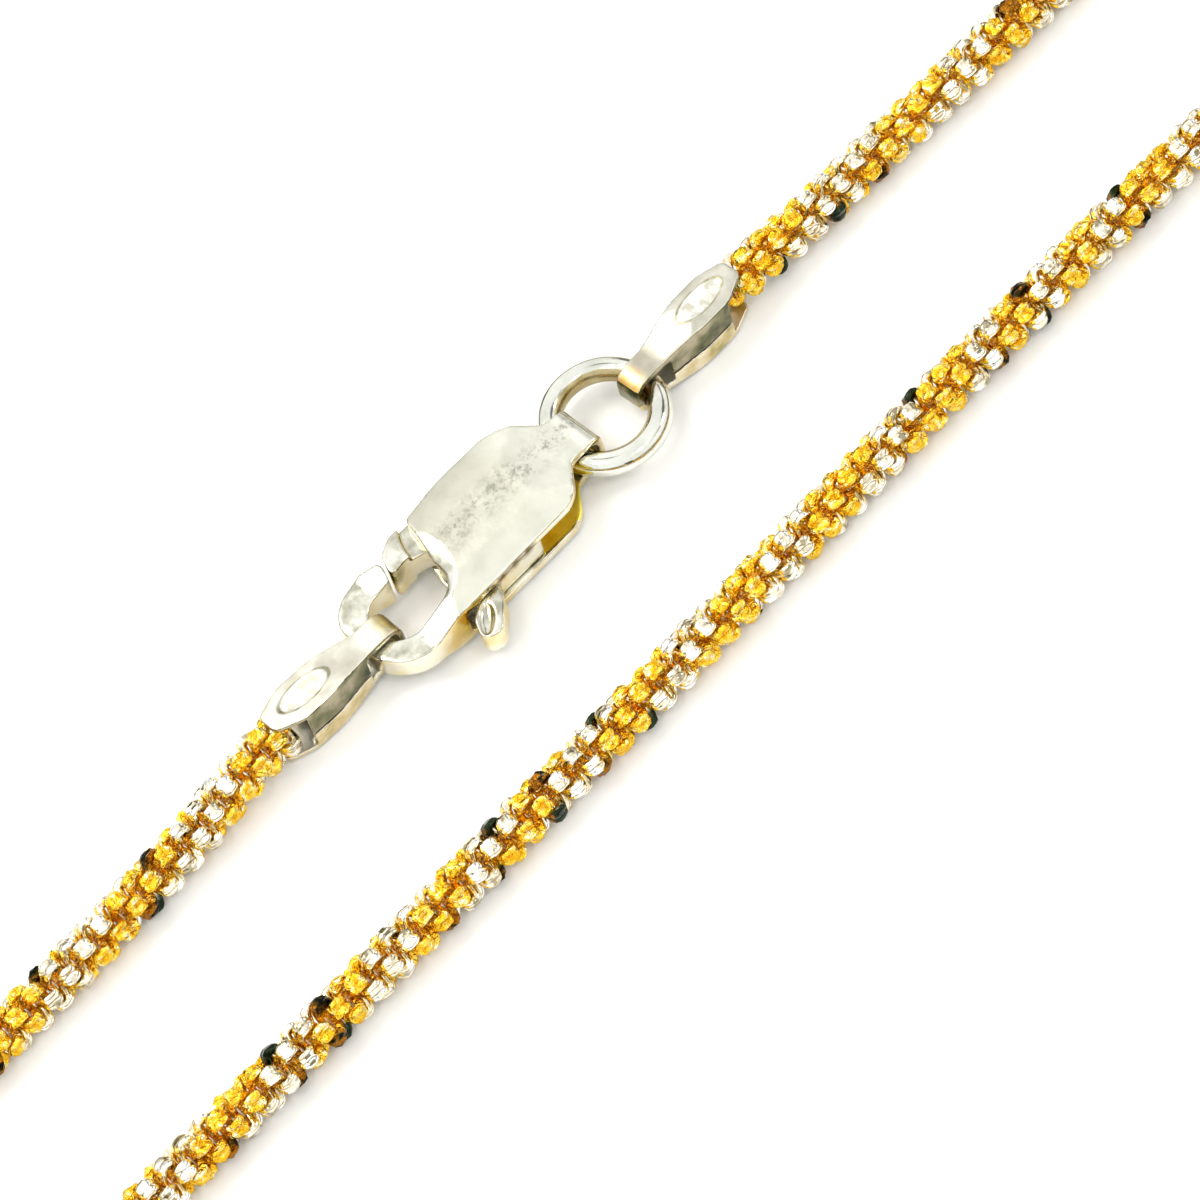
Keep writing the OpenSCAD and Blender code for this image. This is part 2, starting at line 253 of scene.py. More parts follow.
# Links: their spacing and turn along the chain, how far they are raised, how far ahead and behind
# their direction is taken, and how far they stray from it
LINK_STEP = 0.35
LINK_TURN = 54.4
LINK_RISE = 0.05
LINK_LOOK = 0.3
LINK_WOBBLE = 0.02

# A link's line: a rounded oblong whose legs are thin and wide apart at the waist
LINK_WAIST = 0.4375
LINK_HALF_LENGTH = 0.28
LINK_REACH = 0.82
LINK_ROUNDNESS = 3.2
LINK_SEGMENTS = 20
LEG_THIN = 0.08
LEG_THICK = 0.19
LOBE_BAND = (0.14, 0.36)
LOBE_HALF_WIDTH = 0.44
LOBE_SPREAD = 0.46

# The section of a lobe's wire, as shares of its half thickness and half width: two ribs and a groove
LOBE_SECTION = [
    (0.45, 0.0), (0.95, 0.24), (1.0, 0.58), (0.72, 0.88), (0.1, 1.0), (-0.6, 0.92), (-1.0, 0.5),
    (-1.0, -0.5), (-0.6, -0.92), (0.1, -1.0), (0.72, -0.88), (1.0, -0.58), (0.95, -0.24),
]

# How deep in the chain a point lies, which the metals paint as shade between the links: by its distance from
# the middle, and on the wire's inner side
DEPTH_BAND = (0.2, 0.6)
DEPTH_ACROSS = 0.3
INNER_DEPTH = 0.5
INNER_RISE = -0.3

# Unevenness of the links, and the lumps and dimple of their gold ends
SIZE_SPREAD = 0.004
ROUGHENED = 0.012
ROUGH_BAND = (0.4, 0.6)
ROUGH_SHARES = (0.2, 1.0, 1.0)
LUMP_LENGTH = 0.32
LUMP_DEPTH = 0.10
DIMPLE_DEPTH = 0.24
DIMPLE_ALONG = 0.14
DIMPLE_ACROSS = 0.20
DIMPLE_SHADE = 0.9
OUTER_BAND = (0.45, 0.7)

# Cut facets: how far out they lie, their tilt, and how the side ones lean
SILVER_REACH = 0.95
GOLD_REACH = 1.01
SIDE_REACH = 0.10
END_TILT = 0.10
SIDE_TILT = 0.06
SIDE_LEAN = 0.3

# Silver faces: from how far out, and how squarely they face outwards or sideways
SILVER_FROM = 0.1
RIM_TURN = 0.62

# Painted dark reflections on the links: how squarely an end faces the side they are painted on, in degrees,
# the share of such ends between two places along X, where along the chain they begin and how far out an end
# is painted dark
DARK_SECTOR = 38.0
DARK_SHARE_AT_X = (-20.0, 15.0)
DARK_SHARE = (0.95, 0.25)
DARK_FROM = 3.5
DARK_REACH = (0.40, 0.52)

# Rows of painted dark reflections: the side of the chain, their spacing along it, their length and their
# first place
PAINTED_DARK_REFLECTION_ROWS = [
    ((0.0, -0.875, -0.483), 2.75, 0.85, 0.0),
    ((0.0, 0.80, 0.60), 2.9, 0.60, 1.3),
]

# Inputs and output of a node that mixes colours, by number because several share one name
MIX_FACTOR = 0
MIX_ONE = 6
MIX_OTHER = 7
MIX_RESULT = 2


def new_object(name, data):
    """A new object in the scene that holds this data."""
    obj = bpy.data.objects.new(name, data)
    bpy.context.scene.collection.objects.link(obj)
    return obj


def direction_to(azimuth, elevation):
    """The direction from the middle of the piece to a camera or light at these angles."""
    a, e = math.radians(azimuth), math.radians(elevation)
    return Vector((math.sin(a) * math.cos(e), -math.cos(a) * math.cos(e), math.sin(e)))


def add_camera():
    """The camera stands at the photograph's angle and is rolled as it was."""
    a, r = math.radians(CAMERA_AZIMUTH), math.radians(CAMERA_ROLL)
    back = direction_to(CAMERA_AZIMUTH, CAMERA_ELEVATION)
    level = Vector((math.cos(a), math.sin(a), 0.0))
    rise = back.cross(level)
    right = level * math.cos(r) - rise * math.sin(r)
    up = level * math.sin(r) + rise * math.cos(r)
    data = bpy.data.cameras.new("camera")
    data.sensor_width = SENSOR
    data.lens = SENSOR * CAMERA_DISTANCE / VIEW_WIDTH
    data.clip_start = CAMERA_NEAREST * MM
    data.clip_end = CAMERA_FARTHEST_M
    camera = new_object("camera", data)
    matrix = Matrix((right, up, back)).transposed().to_4x4()
    matrix.translation = (Vector(CAMERA_AIM) + back * CAMERA_DISTANCE) * MM
    camera.matrix_world = matrix
    bpy.context.scene.camera = camera


# Parts of materials

def material(name):
    """A new node material and its Principled shader."""
    made = bpy.data.materials.new(name)
    made.use_nodes = True
    shader = made.node_tree.nodes["Principled BSDF"]
    return made, shader


def node(tree, kind, **values):
    """A node whose sockets take these values."""
    made = tree.nodes.new(kind)
    for key, value in values.items():
        made.inputs[key.replace("_", " ")].default_value = value
    return made


def own_place(tree):
    """Where a point is in its object's own coordinates."""
    return tree.nodes.new("ShaderNodeTexCoord").outputs["Object"]


def noise(tree, scale, detail=3.0, roughness=0.55):
    """Noise over the object's own coordinates; scale is in bumps a millimetre."""
    made = node(tree, "ShaderNodeTexNoise", Scale=scale / MM, Detail=detail, Roughness=roughness)
    tree.links.new(own_place(tree), made.inputs["Vector"])
    return made.outputs["Fac"]


def ramp(tree, source, stops):
    """Colours by value: stops are (value, colour)."""
    made = tree.nodes.new("ShaderNodeValToRGB")
    bar = made.color_ramp
    while len(bar.elements) < len(stops):
        bar.elements.new(0.5)
    for element, (at, colour) in zip(bar.elements, stops):
        element.position = at
        element.color = (*colour, 1.0)
    tree.links.new(source, made.inputs["Fac"])
    return made.outputs["Color"]


def mottled(tree, scale, stops):
    """A colour that wanders between the stops by noise of this scale."""
    return ramp(tree, noise(tree, scale), stops)


def mapped(tree, source, start, end, low, high, clamp=True):
    """The source's range from start to end, spread from low to high."""
    made = node(
        tree, "ShaderNodeMapRange", From_Min=start, From_Max=end, To_Min=low, To_Max=high
    )
    made.clamp = clamp
    tree.links.new(source, made.inputs["Value"])
    return made.outputs["Result"]


def calculated(tree, operation, *sources, clamp=False):
    """The result of this operation on one or two values."""
    made = tree.nodes.new("ShaderNodeMath")
    made.operation = operation
    made.use_clamp = clamp
    for number, source in enumerate(sources):
        tree.links.new(source, made.inputs[number])
    return made.outputs["Value"]


def mix_node(tree, one, other):
    """A node that mixes these two colours."""
    made = tree.nodes.new("ShaderNodeMix")
    made.data_type = "RGBA"
    tree.links.new(one, made.inputs[MIX_ONE])
    tree.links.new(other, made.inputs[MIX_OTHER])
    return made


def blend_colours(tree, factor, one, other):
    """One colour where the factor is 0 and the other where it is 1."""
    made = mix_node(tree, one, other)
    tree.links.new(factor, made.inputs[MIX_FACTOR])
    return made.outputs[MIX_RESULT]


def multiply_colours(tree, one, other):
    """One colour times the other."""
    made = mix_node(tree, one, other)
    made.blend_type = "MULTIPLY"
    made.inputs[MIX_FACTOR].default_value = 1.0
    return made.outputs[MIX_RESULT]


def bump(tree, shader, height, depth, strength):
    """Relief of this depth in millimetres."""
    made = node(tree, "ShaderNodeBump", Strength=strength, Distance=depth * MM)
    tree.links.new(height, made.inputs["Height"])
    tree.links.new(made.outputs["Normal"], shader.inputs["Normal"])


def attribute(tree, name):
    """A value that the mesh carries at each point."""
    made = tree.nodes.new("ShaderNodeAttribute")
    made.attribute_name = name
    return made.outputs["Fac"]


def metal(name, stops, rough, patch, relief, strength, grain):
    """A metal whose colour wanders between the stops and whose roughness and relief vary."""
    made, shader = material(name)
    tree = made.node_tree
    shader.inputs["Metallic"].default_value = 1.0
    colour = mottled(tree, patch, stops)
    tree.links.new(colour, shader.inputs["Base Color"])
    varied = mapped(tree, noise(tree, patch * ROUGH_FINER), *NOISE_MIDDLE, *rough)
    tree.links.new(varied, shader.inputs["Roughness"])
    bump(tree, shader, noise(tree, grain), relief, strength)
    return made, shader, colour


def near(tree, place, radius):
    """1 round a place and 0 from the radius on, broken up by noise."""
    away = tree.nodes.new("ShaderNodeVectorMath")
    away.operation = "DISTANCE"
    away.inputs[1].default_value = [v * MM for v in place]
    tree.links.new(own_place(tree), away.inputs[0])
    close = mapped(
        tree, away.outputs["Value"], STAIN_CORE * radius * MM, radius * MM, 1.0, 0.0
    )
    patches = mapped(tree, noise(tree, STAIN_EDGE_SCALE), *STAIN_EDGE, 0.0, 1.0)
    return calculated(tree, "MULTIPLY", close, patches)


def stained(made, stains):
    """The metal with stains on it: each is a place, a radius and the stain's colour."""
    material_made, shader, colour = made
    tree = material_made.node_tree
    for place, radius, tint in stains:
        lighter = tuple(min(1.0, STAIN_LIGHTER * v) for v in tint)
        stain = mottled(tree, STAIN_SCALE, list(zip(NOISE_MIDDLE, (tint, lighter))))
        colour = blend_colours(tree, near(tree, place, radius), colour, stain)
    tree.links.new(colour, shader.inputs["Base Color"])
    return material_made


# Metals

def chain_metal(name, stops, deep, painted_dark_reflection, rough, **surface):
    """A metal of the links, with painted shade down between them and painted dark reflections on some ends.
    """
    made, shader, colour = metal(name, stops, rough, **surface)
    tree = made.node_tree
    # Painted shade between the links and in the dimples
    low = mottled(tree, PAINTED_SHADE_SCALE, deep)
    colour = blend_colours(tree, attribute(tree, "depth"), colour, low)
    # Painted dark reflections on the chosen ends
    dark = mottled(tree, DARK_REFLECTION_SCALE, painted_dark_reflection)
    colour = blend_colours(tree, attribute(tree, "painted_dark_reflection"), colour, dark)
    tree.links.new(colour, shader.inputs["Base Color"])
    return made


def plate_metal():
    """Satin silver with grey grain along the plate's middle, painted light that pales it towards the tab,
    and paler towards the neck.
    """
    made, shader, colour = metal(
        "plate_silver", PLATE_COLOURS, (0.30, 0.42), patch=0.6, relief=0.012, strength=0.5, grain=5.0
    )
    tree = made.node_tree
    split = tree.nodes.new("ShaderNodeSeparateXYZ")
    tree.links.new(own_place(tree), split.inputs[0])
    across = mapped(
        tree, split.outputs["Y"], GREY_MIDDLE_Y * MM, (GREY_MIDDLE_Y + 1) * MM, 0.0, 1.0, clamp=False
    )
    band = mapped(tree, calculated(tree, "ABSOLUTE", across), *GREY_BAND, 1.0, 0.0)
    grain = mapped(
        tree, noise(tree, GREY_SCALE, detail=6.0, roughness=0.8), *GREY_EDGE, 0.0, GREY_SHARE
    )
    grey = calculated(tree, "MULTIPLY", band, grain)
    colour = blend_colours(tree, grey, colour, mottled(tree, GREY_SPOT_SCALE, PLATE_GREY_COLOURS))
    # Painted light: the plate paler towards the tab
    painted_light_toward_tab = mapped(tree, across, *TAB_SIDE, 0.0, TAB_SHARE)
    colour = blend_colours(tree, painted_light_toward_tab, colour, mottled(tree, PALE_SCALE, PLATE_PAINTED_LIGHT_BY_TAB_COLOURS))
    toward_neck = mapped(tree, split.outputs["X"], *(x * MM for x in NECK_X), 0.0, NECK_SHARE)
    beside_grey = calculated(tree, "SUBTRACT", toward_neck, grey, clamp=True)
    colour = blend_colours(tree, beside_grey, colour, mottled(tree, PALE_SCALE, PLATE_BY_NECK_COLOURS))
    tree.links.new(colour, shader.inputs["Base Color"])
    return made


def leaf_metal(name, lightness=1.0):
    """Satin silver of the end caps' leaves."""
    lit = [(at, tuple(lightness * v for v in colour)) for at, colour in LEAF_COLOURS]
    return metal(name, lit, (0.28, 0.42), patch=0.7, relief=0.012, strength=0.5, grain=4.0)


def with_panel(made, at, turn, tint):
    """A leaf's metal with its bright oval panel, whose outline is darker, and a stain at the loop."""
    panelled, shader, colour = made
    tree = panelled.node_tree
    a = math.radians(turn)
    middle = (at[0] + PANEL_X * math.cos(a), at[1] + PANEL_X * math.sin(a), 0.0)
    oval = tree.nodes.new("ShaderNodeMapping")
    oval.vector_type = "TEXTURE"
    oval.inputs["Location"].default_value = [v * MM for v in middle]
    oval.inputs["Rotation"].default_value = (0.0, 0.0, a)
    oval.inputs["Scale"].default_value = (PANEL_LONG * MM, PANEL_WIDE * MM, 1.0)
    tree.links.new(own_place(tree), oval.inputs["Vector"])
    share = tree.nodes.new("ShaderNodeVectorMath")
    share.operation = "LENGTH"
    tree.links.new(oval.outputs["Vector"], share.inputs[0])
    layers = [(OUTLINE_EDGE, OUTLINE_SCALE, PANEL_OUTLINE_COLOURS), (PANEL_EDGE, PANEL_SCALE, PANEL_COLOURS)]
    for edge, scale, stops in layers:
        within = mapped(tree, share.outputs["Value"], *edge, 1.0, 0.0)
        colour = blend_colours(tree, within, colour, mottled(tree, scale, stops))
    return stained((panelled, shader, colour), [((*at, LOOP_TIP_Z), LOOP_RADIUS, tint)])


def link_metals():
    """The metals of the links."""
    gold = chain_metal(
        "chain_gold", GOLD_COLOURS, GOLD_PAINTED_SHADE_COLOURS, GOLD_PAINTED_DARK_REFLECTION_COLOURS, (0.08, 0.24),
        patch=3.4, relief=0.26, strength=1.0, grain=3.8,
    )
    cut = chain_metal(
        "chain_silver", CUT_COLOURS, CUT_PAINTED_SHADE_COLOURS, CUT_PAINTED_DARK_REFLECTION_COLOURS, (0.05, 0.18),
        patch=1.8, relief=0.012, strength=0.5, grain=4.0,
    )
    return {"gold": gold, "cut": cut}


def clasp_metals():
    """The metals of the clasp and its lever."""
    bright = metal(
        "bright_silver", BRIGHT_COLOURS, (0.14, 0.28), patch=0.9, relief=0.008, strength=0.3, grain=3.0
    )
    # Painted warm reflection for the upright faces
    side = metal(
        "side_painted_warm_reflection", SIDE_PAINTED_WARM_REFLECTION_COLOURS, (0.12, 0.28), patch=0.5, relief=0.008, strength=0.4, grain=4.0
    )
    # Painted reflection of the gold chain in the slot
    slot = metal(
        "slot_painted_gold_reflection", SLOT_PAINTED_GOLD_REFLECTION_COLOURS, (0.3, 0.45), patch=0.9, relief=0.02, strength=0.5, grain=4.0
    )
    return {
        "plate": plate_metal(),
        "bright": stained(bright, BRIGHT_STAINS),
        "side": stained(side, SIDE_STAINS),
        "slot": stained(slot, SLOT_STAINS),
    }


def cap_metals():
    """The metals of the end caps."""
    # Painted shade for the upright faces above the seam
    side, _, _ = metal(
        "cap_painted_shade_side_silver", CAP_SIDE_PAINTED_SHADE_COLOURS, (0.12, 0.28),
        patch=0.8, relief=0.010, strength=0.4, grain=4.0,
    )
    # Painted warm reflection for the upright faces below the seam
    under, _, _ = metal(
        "cap_painted_warm_reflection_under_silver", CAP_UNDER_PAINTED_WARM_REFLECTION_COLOURS, (0.12, 0.28),
        patch=0.7, relief=0.010, strength=0.4, grain=4.0,
    )
    leaf, _, _ = leaf_metal("cap_silver")
    # The left cap's upper leaf, painted lighter
    top_left = leaf_metal("cap_top_left_painted_lighter", LEFT_LEAF_PAINTED_LIGHTER)
    top_right = leaf_metal("cap_top_right_silver")
    return {
        "cap": leaf,
        "cap_painted_shade_side": side,
        "cap_painted_warm_reflection_under": under,
        "cap_top_left": with_panel(top_left, CAP_LEFT_AT, CAP_LEFT_TURN, LOOP_TINT_LEFT),
        "cap_top_right": with_panel(top_right, CAP_RIGHT_AT, CAP_RIGHT_TURN, LOOP_TINT_RIGHT),
    }


def ring_metals():
    """The metals of the jump ring."""
    outside = metal(
        "ring_silver", RING_COLOURS, (0.06, 0.16), patch=0.8, relief=0.006, strength=0.3, grain=3.0
    )
    # Painted shade on the inner side of the wire
    inside = metal(
        "ring_inner_side_painted_shade", RING_INSIDE_PAINTED_SHADE_COLOURS, (0.15, 0.30),
        patch=0.6, relief=0.008, strength=0.4, grain=4.0,
    )
    return {
        "ring": stained(outside, RING_STAINS),
        "ring_inside_painted_shade": stained(inside, RING_INSIDE_STAINS),
    }


# The chain's line

def unit(vectors):
    """Each row's direction."""
    return vectors / np.linalg.norm(vectors, axis=1)[:, None]


def smooth_route():
    """A fine line through the route's points, never below the height at which the chain lies."""
    points = np.array(ROUTE)
    last = len(points) - 1
    line = []
    for i in range(last):
        a = points[max(i - 1, 0)]
        b = points[i]
        c = points[i + 1]
        d = points[min(i + 2, last)]
        for t in np.arange(ROUTE_STEPS) / ROUTE_STEPS:
            line.append(
                b + (c - a) * t / 2 + (2 * a - 5 * b + 4 * c - d) * t**2 / 2
                + (3 * b - a - 3 * c + d) * t**3 / 2
            )
    line.append(points[last])
    line = np.array(line)
    line[:, 2] = np.maximum(line[:, 2], ROUTE_Z)
    return line


def lengths_along(line):
    """How far along the line each of its points is."""
    steps = np.linalg.norm(np.diff(line, axis=0), axis=1)
    return np.concatenate([[0.0], np.cumsum(steps)])


def places_at(distances, line, along):
    """The places on the line at these distances along it."""
    return np.stack([np.interp(distances, along, line[:, k]) for k in range(3)], axis=1)


def twist_marks(line, along):
    """Places along the line where the angle of the silver side is known, with that angle unwound."""
    found = []
    runs = [
        (GOLD_LEFT, SILVER_ANGLE_CLASP_SIDE, (line[:, 1] > 0) & (line[:, 0] < 0)),
        (GOLD_FRONT, SILVER_ANGLE_FRONT, line[:, 1] < 0),
        (GOLD_RIGHT, SILVER_ANGLE_CLASP_SIDE, (line[:, 1] > 0) & (line[:, 0] > 0)),
    ]
    for places, angle, run in runs:
        for x in places:
            off = np.where(run, np.abs(line[:, 0] - x), np.inf)
            found.append((along[int(np.argmin(off))], angle))
    at = [found[0][0]]
    turned = [found[0][1]]
    for place, angle in found[1:]:
        wanted = turned[-1] - 360 * (place - at[-1]) / TURN_LENGTH
        turned.append(angle + 360 * round((wanted - angle) / 360))
        at.append(place)
    at = [0.0, *at, along[-1]]
    first = turned[0] + 360 * at[1] / TURN_LENGTH
    end = turned[-1] - 360 * (at[-1] - at[-2]) / TURN_LENGTH
    return at, [first, *turned, end]


def link_places(line):
    """Per link: how far along it is, its centre, its direction along and the two across it."""
    along = lengths_along(line)
    count = int((along[-1] - LINK_WAIST * 2) / LINK_STEP)
    at = (along[-1] - (count - 1) * LINK_STEP) / 2 + np.arange(count) * LINK_STEP
    centre = places_at(at, line, along)
    forward = unit(places_at(at + LINK_LOOK, line, along) - places_at(at - LINK_LOOK, line, along))
    side = unit(np.cross([0.0, 0.0, 1.0], forward))
    over = np.cross(forward, side)
    marks, angles = twist_marks(line, along)
    turn = np.radians(LINK_TURN * np.arange(count))
    from_silver = turn - np.radians(np.interp(at, marks, angles))
    to_silver = np.sign(np.cos(from_silver))
    reach = to_silver[:, None] * (side * np.cos(turn)[:, None] + over * np.sin(turn)[:, None])
    flat = np.cross(forward, reach)
    return at, centre, forward, reach, flat


# One link

def step_up(value, low, high):
    """0 below low, 1 above high, and a smooth step between them."""
    t = np.clip((value - low) / (high - low), 0.0, 1.0)
    return t * t * (3 - 2 * t)


def link_line():
    """A link's line as (along, out), the direction out of it, and where it is a lobe rather than a leg."""
    turn = 2 * np.pi * (np.arange(LINK_SEGMENTS) + 0.5) / LINK_SEGMENTS
    circle = np.stack([np.cos(turn), np.sin(turn)], axis=1)
    squared = np.sign(circle) * np.abs(circle) ** (2 / LINK_ROUNDNESS)
    line = squared * (LINK_HALF_LENGTH, LINK_REACH)
    way = unit(np.roll(line, -1, axis=0) - np.roll(line, 1, axis=0))
    outward = np.stack([way[:, 1], -way[:, 0]], axis=1)
    lobe = step_up(np.abs(line[:, 1]), *LOBE_BAND)
    line[:, 0] *= 1 + (LINK_WAIST / LINK_HALF_LENGTH - 1) * (1 - lobe)
    return line, outward, lobe


def link_shape():
    """One closed link: (segments x sides, 3) points along, out and across, and how deep each lies."""
    line, outward, lobe = link_line()
    thick = LEG_THIN + (LEG_THICK - LEG_THIN) * lobe
    wide = np.clip(LOBE_SPREAD * np.abs(line[:, 1]), LEG_THIN, LOBE_HALF_WIDTH)
    ribbed = np.array(LOBE_SECTION)
    round_wire = unit(ribbed)
    section = round_wire + (ribbed - round_wire) * lobe[:, None, None]
    rise, across = section[:, :, 0], section[:, :, 1]
    swell = thick[:, None] * rise
    plane = line[:, None, :] + outward[:, None, :] * swell[:, :, None]
    # How deep each point lies, which the metals paint as shade
    depth = 1 - step_up(np.hypot(plane[:, :, 1], DEPTH_ACROSS * across), *DEPTH_BAND)
    depth = np.maximum(depth, INNER_DEPTH * (rise < INNER_RISE))
    shape = np.concatenate([plane, (wide[:, None] * across)[:, :, None]], axis=2)
    return shape.reshape(-1, 3), depth.reshape(-1)


def link_faces():
    """The four corners of each face of a link."""
    sides = len(LOBE_SECTION)
    segment, side = np.meshgrid(np.arange(LINK_SEGMENTS), np.arange(sides), indexing="ij")
    segment_after = (segment + 1) % LINK_SEGMENTS
    side_after = (side + 1) % sides
    corners = [
        segment * sides + side, segment_after * sides + side,
        segment_after * sides + side_after, segment * sides + side_after,
    ]
    return np.stack(corners, axis=-1).reshape(-1, 4)


def silver_faces(faces):
    """Which faces of a link are silver: the outer and side faces of one end, but not its rims."""
    shape, _ = link_shape()
    a, b, c, d = (shape[faces[:, k]] for k in range(4))
    normal = unit(np.cross(c - a, d - b))
    middle = (a + b + c + d) / 4
    return (middle[:, 1] > SILVER_FROM) & (np.abs(normal[:, 1:]).max(axis=1) > RIM_TURN)


# All links

def cut_flat(points, direction, reach):
    """Cuts each link flat across one direction: returns the points and which of them the cut moved."""
    direction = unit(direction)
    over = np.einsum("lpk,lk->lp", points, direction) - reach
    over = np.maximum(over, 0.0)
    return points - over[:, :, None] * direction[:, None, :], over > 0


def tilted(rng, count, direction, tilt):
    """This direction for every link, each a little tilted."""
    return np.array(direction)[None, :] + rng.normal(0.0, tilt, (count, 3))


def roughened(rng, points):
    """The same points, each link a little larger or smaller and its lobes a little uneven."""
    points = points * (1 + rng.normal(0.0, SIZE_SPREAD, (len(points), 1, 3)))
    rough = rng.normal(0.0, ROUGHENED, points.shape)
    rough = rough * step_up(np.abs(points[:, :, 1:2]), *ROUGH_BAND)
    return points + rough * ROUGH_SHARES


def lumpy(rng, points):
    """The same points with hollows in the outer side of each gold end, and the painted shade in its dimple.
    """
    phase = rng.uniform(0.0, 2 * math.pi, (len(points), 1, 2))
    wave = 2 * math.pi / LUMP_LENGTH
    along, out, across = (points[:, :, k] for k in range(3))
    lump = np.sin(along * wave + phase[:, :, 0]) * np.sin(across * wave + phase[:, :, 1])
    dimple = np.exp(-(along / DIMPLE_ALONG) ** 2 - (across / DIMPLE_ACROSS) ** 2)
    outer = step_up(-out, *OUTER_BAND)
    sunk = points.copy()
    sunk[:, :, 1] += (LUMP_DEPTH * (0.5 + 0.5 * lump) + DIMPLE_DEPTH * dimple) * outer
    return sunk, DIMPLE_SHADE * dimple * outer


def shaped_links(rng, count):
    """All the links side by side in their own axes: points, what each cut moved and how deep each lies, with
    painted shade in the dimples.
    """
    shape, depth = link_shape()
    points = roughened(rng, np.repeat(shape[None, :, :], count, axis=0))
    points, dimple = lumpy(rng, points)
    depth = np.maximum(depth[None, :], dimple)
    cuts = []
    for direction, reach in (((0, 1, 0), SILVER_REACH), ((0, -1, 0), GOLD_REACH)):
        points, moved = cut_flat(points, tilted(rng, count, direction, END_TILT), reach)
        cuts.append(moved)
    for end in (1, -1):
        for side in (1, -1):
            direction = tilted(rng, count, (0, -SIDE_LEAN * end, side), SIDE_TILT)
            beside, moved = cut_flat(points, direction, SIDE_REACH)
            moved &= points[:, :, 1] * end > 0
            points = np.where(moved[:, :, None], beside, points)
            cuts.append(moved)
    return points, cuts, depth


def painted_dark_reflections_on_links(chosen, at, reach, from_centre):
    """How much painted dark reflection each point of the chosen links takes: only the outer part of an end,
    in each row.
    """
    dark = np.zeros(from_centre.shape[:2])
    sector = math.cos(math.radians(DARK_SECTOR))
    for facing, spacing, stretch, first in PAINTED_DARK_REFLECTION_ROWS:
        marked = chosen & (np.abs(reach @ np.array(facing)) > sector)
        marked &= np.mod(at - first, spacing) < stretch
        outward = from_centre @ np.array(facing)
        dark = np.maximum(dark, marked[:, None] * step_up(outward, *DARK_REACH))
    return dark


def placed_links(rng, line):
    """All the links at their places: distances along the line, points, cuts, depths for the painted shade,
    and painted dark reflections.
    """
    at, centre, forward, reach, flat = link_places(line)
    count = len(at)
    points, cuts, depth = shaped_links(rng, count)
    share = np.interp(centre[:, 0], DARK_SHARE_AT_X, DARK_SHARE)
    chosen = (rng.random(count) < share) & (at > DARK_FROM)
    wobble = rng.normal(0.0, LINK_WOBBLE, (count, 3))
    forward = forward + wobble[:, :1] * reach + wobble[:, 1:2] * flat
    reach = reach + wobble[:, 2:] * flat
    placed = (
        centre[:, None, :]
        + points[:, :, 0:1] * forward[:, None, :]
        + points[:, :, 1:2] * reach[:, None, :]
        + points[:, :, 2:3] * flat[:, None, :]
    )
    placed[:, :, 2] = np.maximum(placed[:, :, 2] + LINK_RISE, 0.0)
    # Painted dark reflections on the chosen links
    dark = painted_dark_reflections_on_links(chosen, at, reach, placed - centre[:, None, :])
    return at, placed, cuts, depth, dark


def add_links(name, points, cuts, marks, node_name, metals):
    """One mesh of whole links: an end of each is silver, the rest gold, and cut facets shade flat."""
    faces = link_faces()
    count, size = points.shape[:2]
    corners = (faces[None, :, :] + (np.arange(count) * size)[:, None, None]).reshape(-1, 4)
    mesh = bpy.data.meshes.new(name)
    mesh.from_pydata((points.reshape(-1, 3) * MM).tolist(), [], corners.tolist())
    flat = np.zeros(len(corners), dtype=bool)
    for moved in cuts:
        flat |= moved.reshape(-1)[corners].all(axis=1)
    silver = np.tile(silver_faces(faces), count)
    mesh.polygons.foreach_set("use_smooth", ~flat)
    mesh.materials.append(metals["gold"])
    mesh.materials.append(metals["cut"])
    mesh.polygons.foreach_set("material_index", silver.astype(np.int32))
    # The painted shade and the painted dark reflections, as values at each point
    for mark, values in marks.items():
        layer = mesh.attributes.new(mark, "FLOAT", "POINT")
        layer.data.foreach_set("value", values.reshape(-1).astype(np.float32))
    mesh.update()
    obj = new_object(name, mesh)
    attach(obj, "necklace")
    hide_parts(node_name)


def add_chain(metals):
    """The links of both halves, each half in two meshes."""
    rng = np.random.default_rng(SEED)
    line = smooth_route()
    at, points, cuts, depth, dark = placed_links(rng, line)
    middle = lengths_along(line)[ROUTE_STEPS * MIDDLE_POINT]
    for half, chosen in (("left", at < middle), ("right", at >= middle)):
        numbers = np.flatnonzero(chosen)
        for part, group in enumerate(np.array_split(numbers, 2), start=1):
            add_links(
                f"{half}_links_{part}", points[group], [c[group] for c in cuts],
                {"depth": depth[group], "painted_dark_reflection": dark[group]}, f"chain_{half}", metals,
            )


# Clasp, caps and ring

def softened(node_name, name, voxel, rounds):
    """A copy of a node's solid, remeshed finely and with its edges eased."""
    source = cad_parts[node_name]
    obj = new_object(name, source.data.copy())
    obj.data.materials.clear()
    remesh = obj.modifiers.new("remesh", "REMESH")
    remesh.mode = "VOXEL"
    remesh.voxel_size = voxel * MM
    ease = obj.modifiers.new("ease", "SMOOTH")
    ease.factor = EASE
    ease.iterations = rounds
    made = bpy.data.meshes.new_from_object(obj.evaluated_get(bpy.context.evaluated_depsgraph_get()))
    obj.modifiers.clear()
    obj.data = made
    made.name = name
    made.shade_smooth()
    return obj


def face_values(mesh, name):
    """A value of every face of a mesh, as rows of three."""
    found = np.empty(len(mesh.polygons) * 3)
    mesh.polygons.foreach_get(name, found)
    return found.reshape(-1, 3)


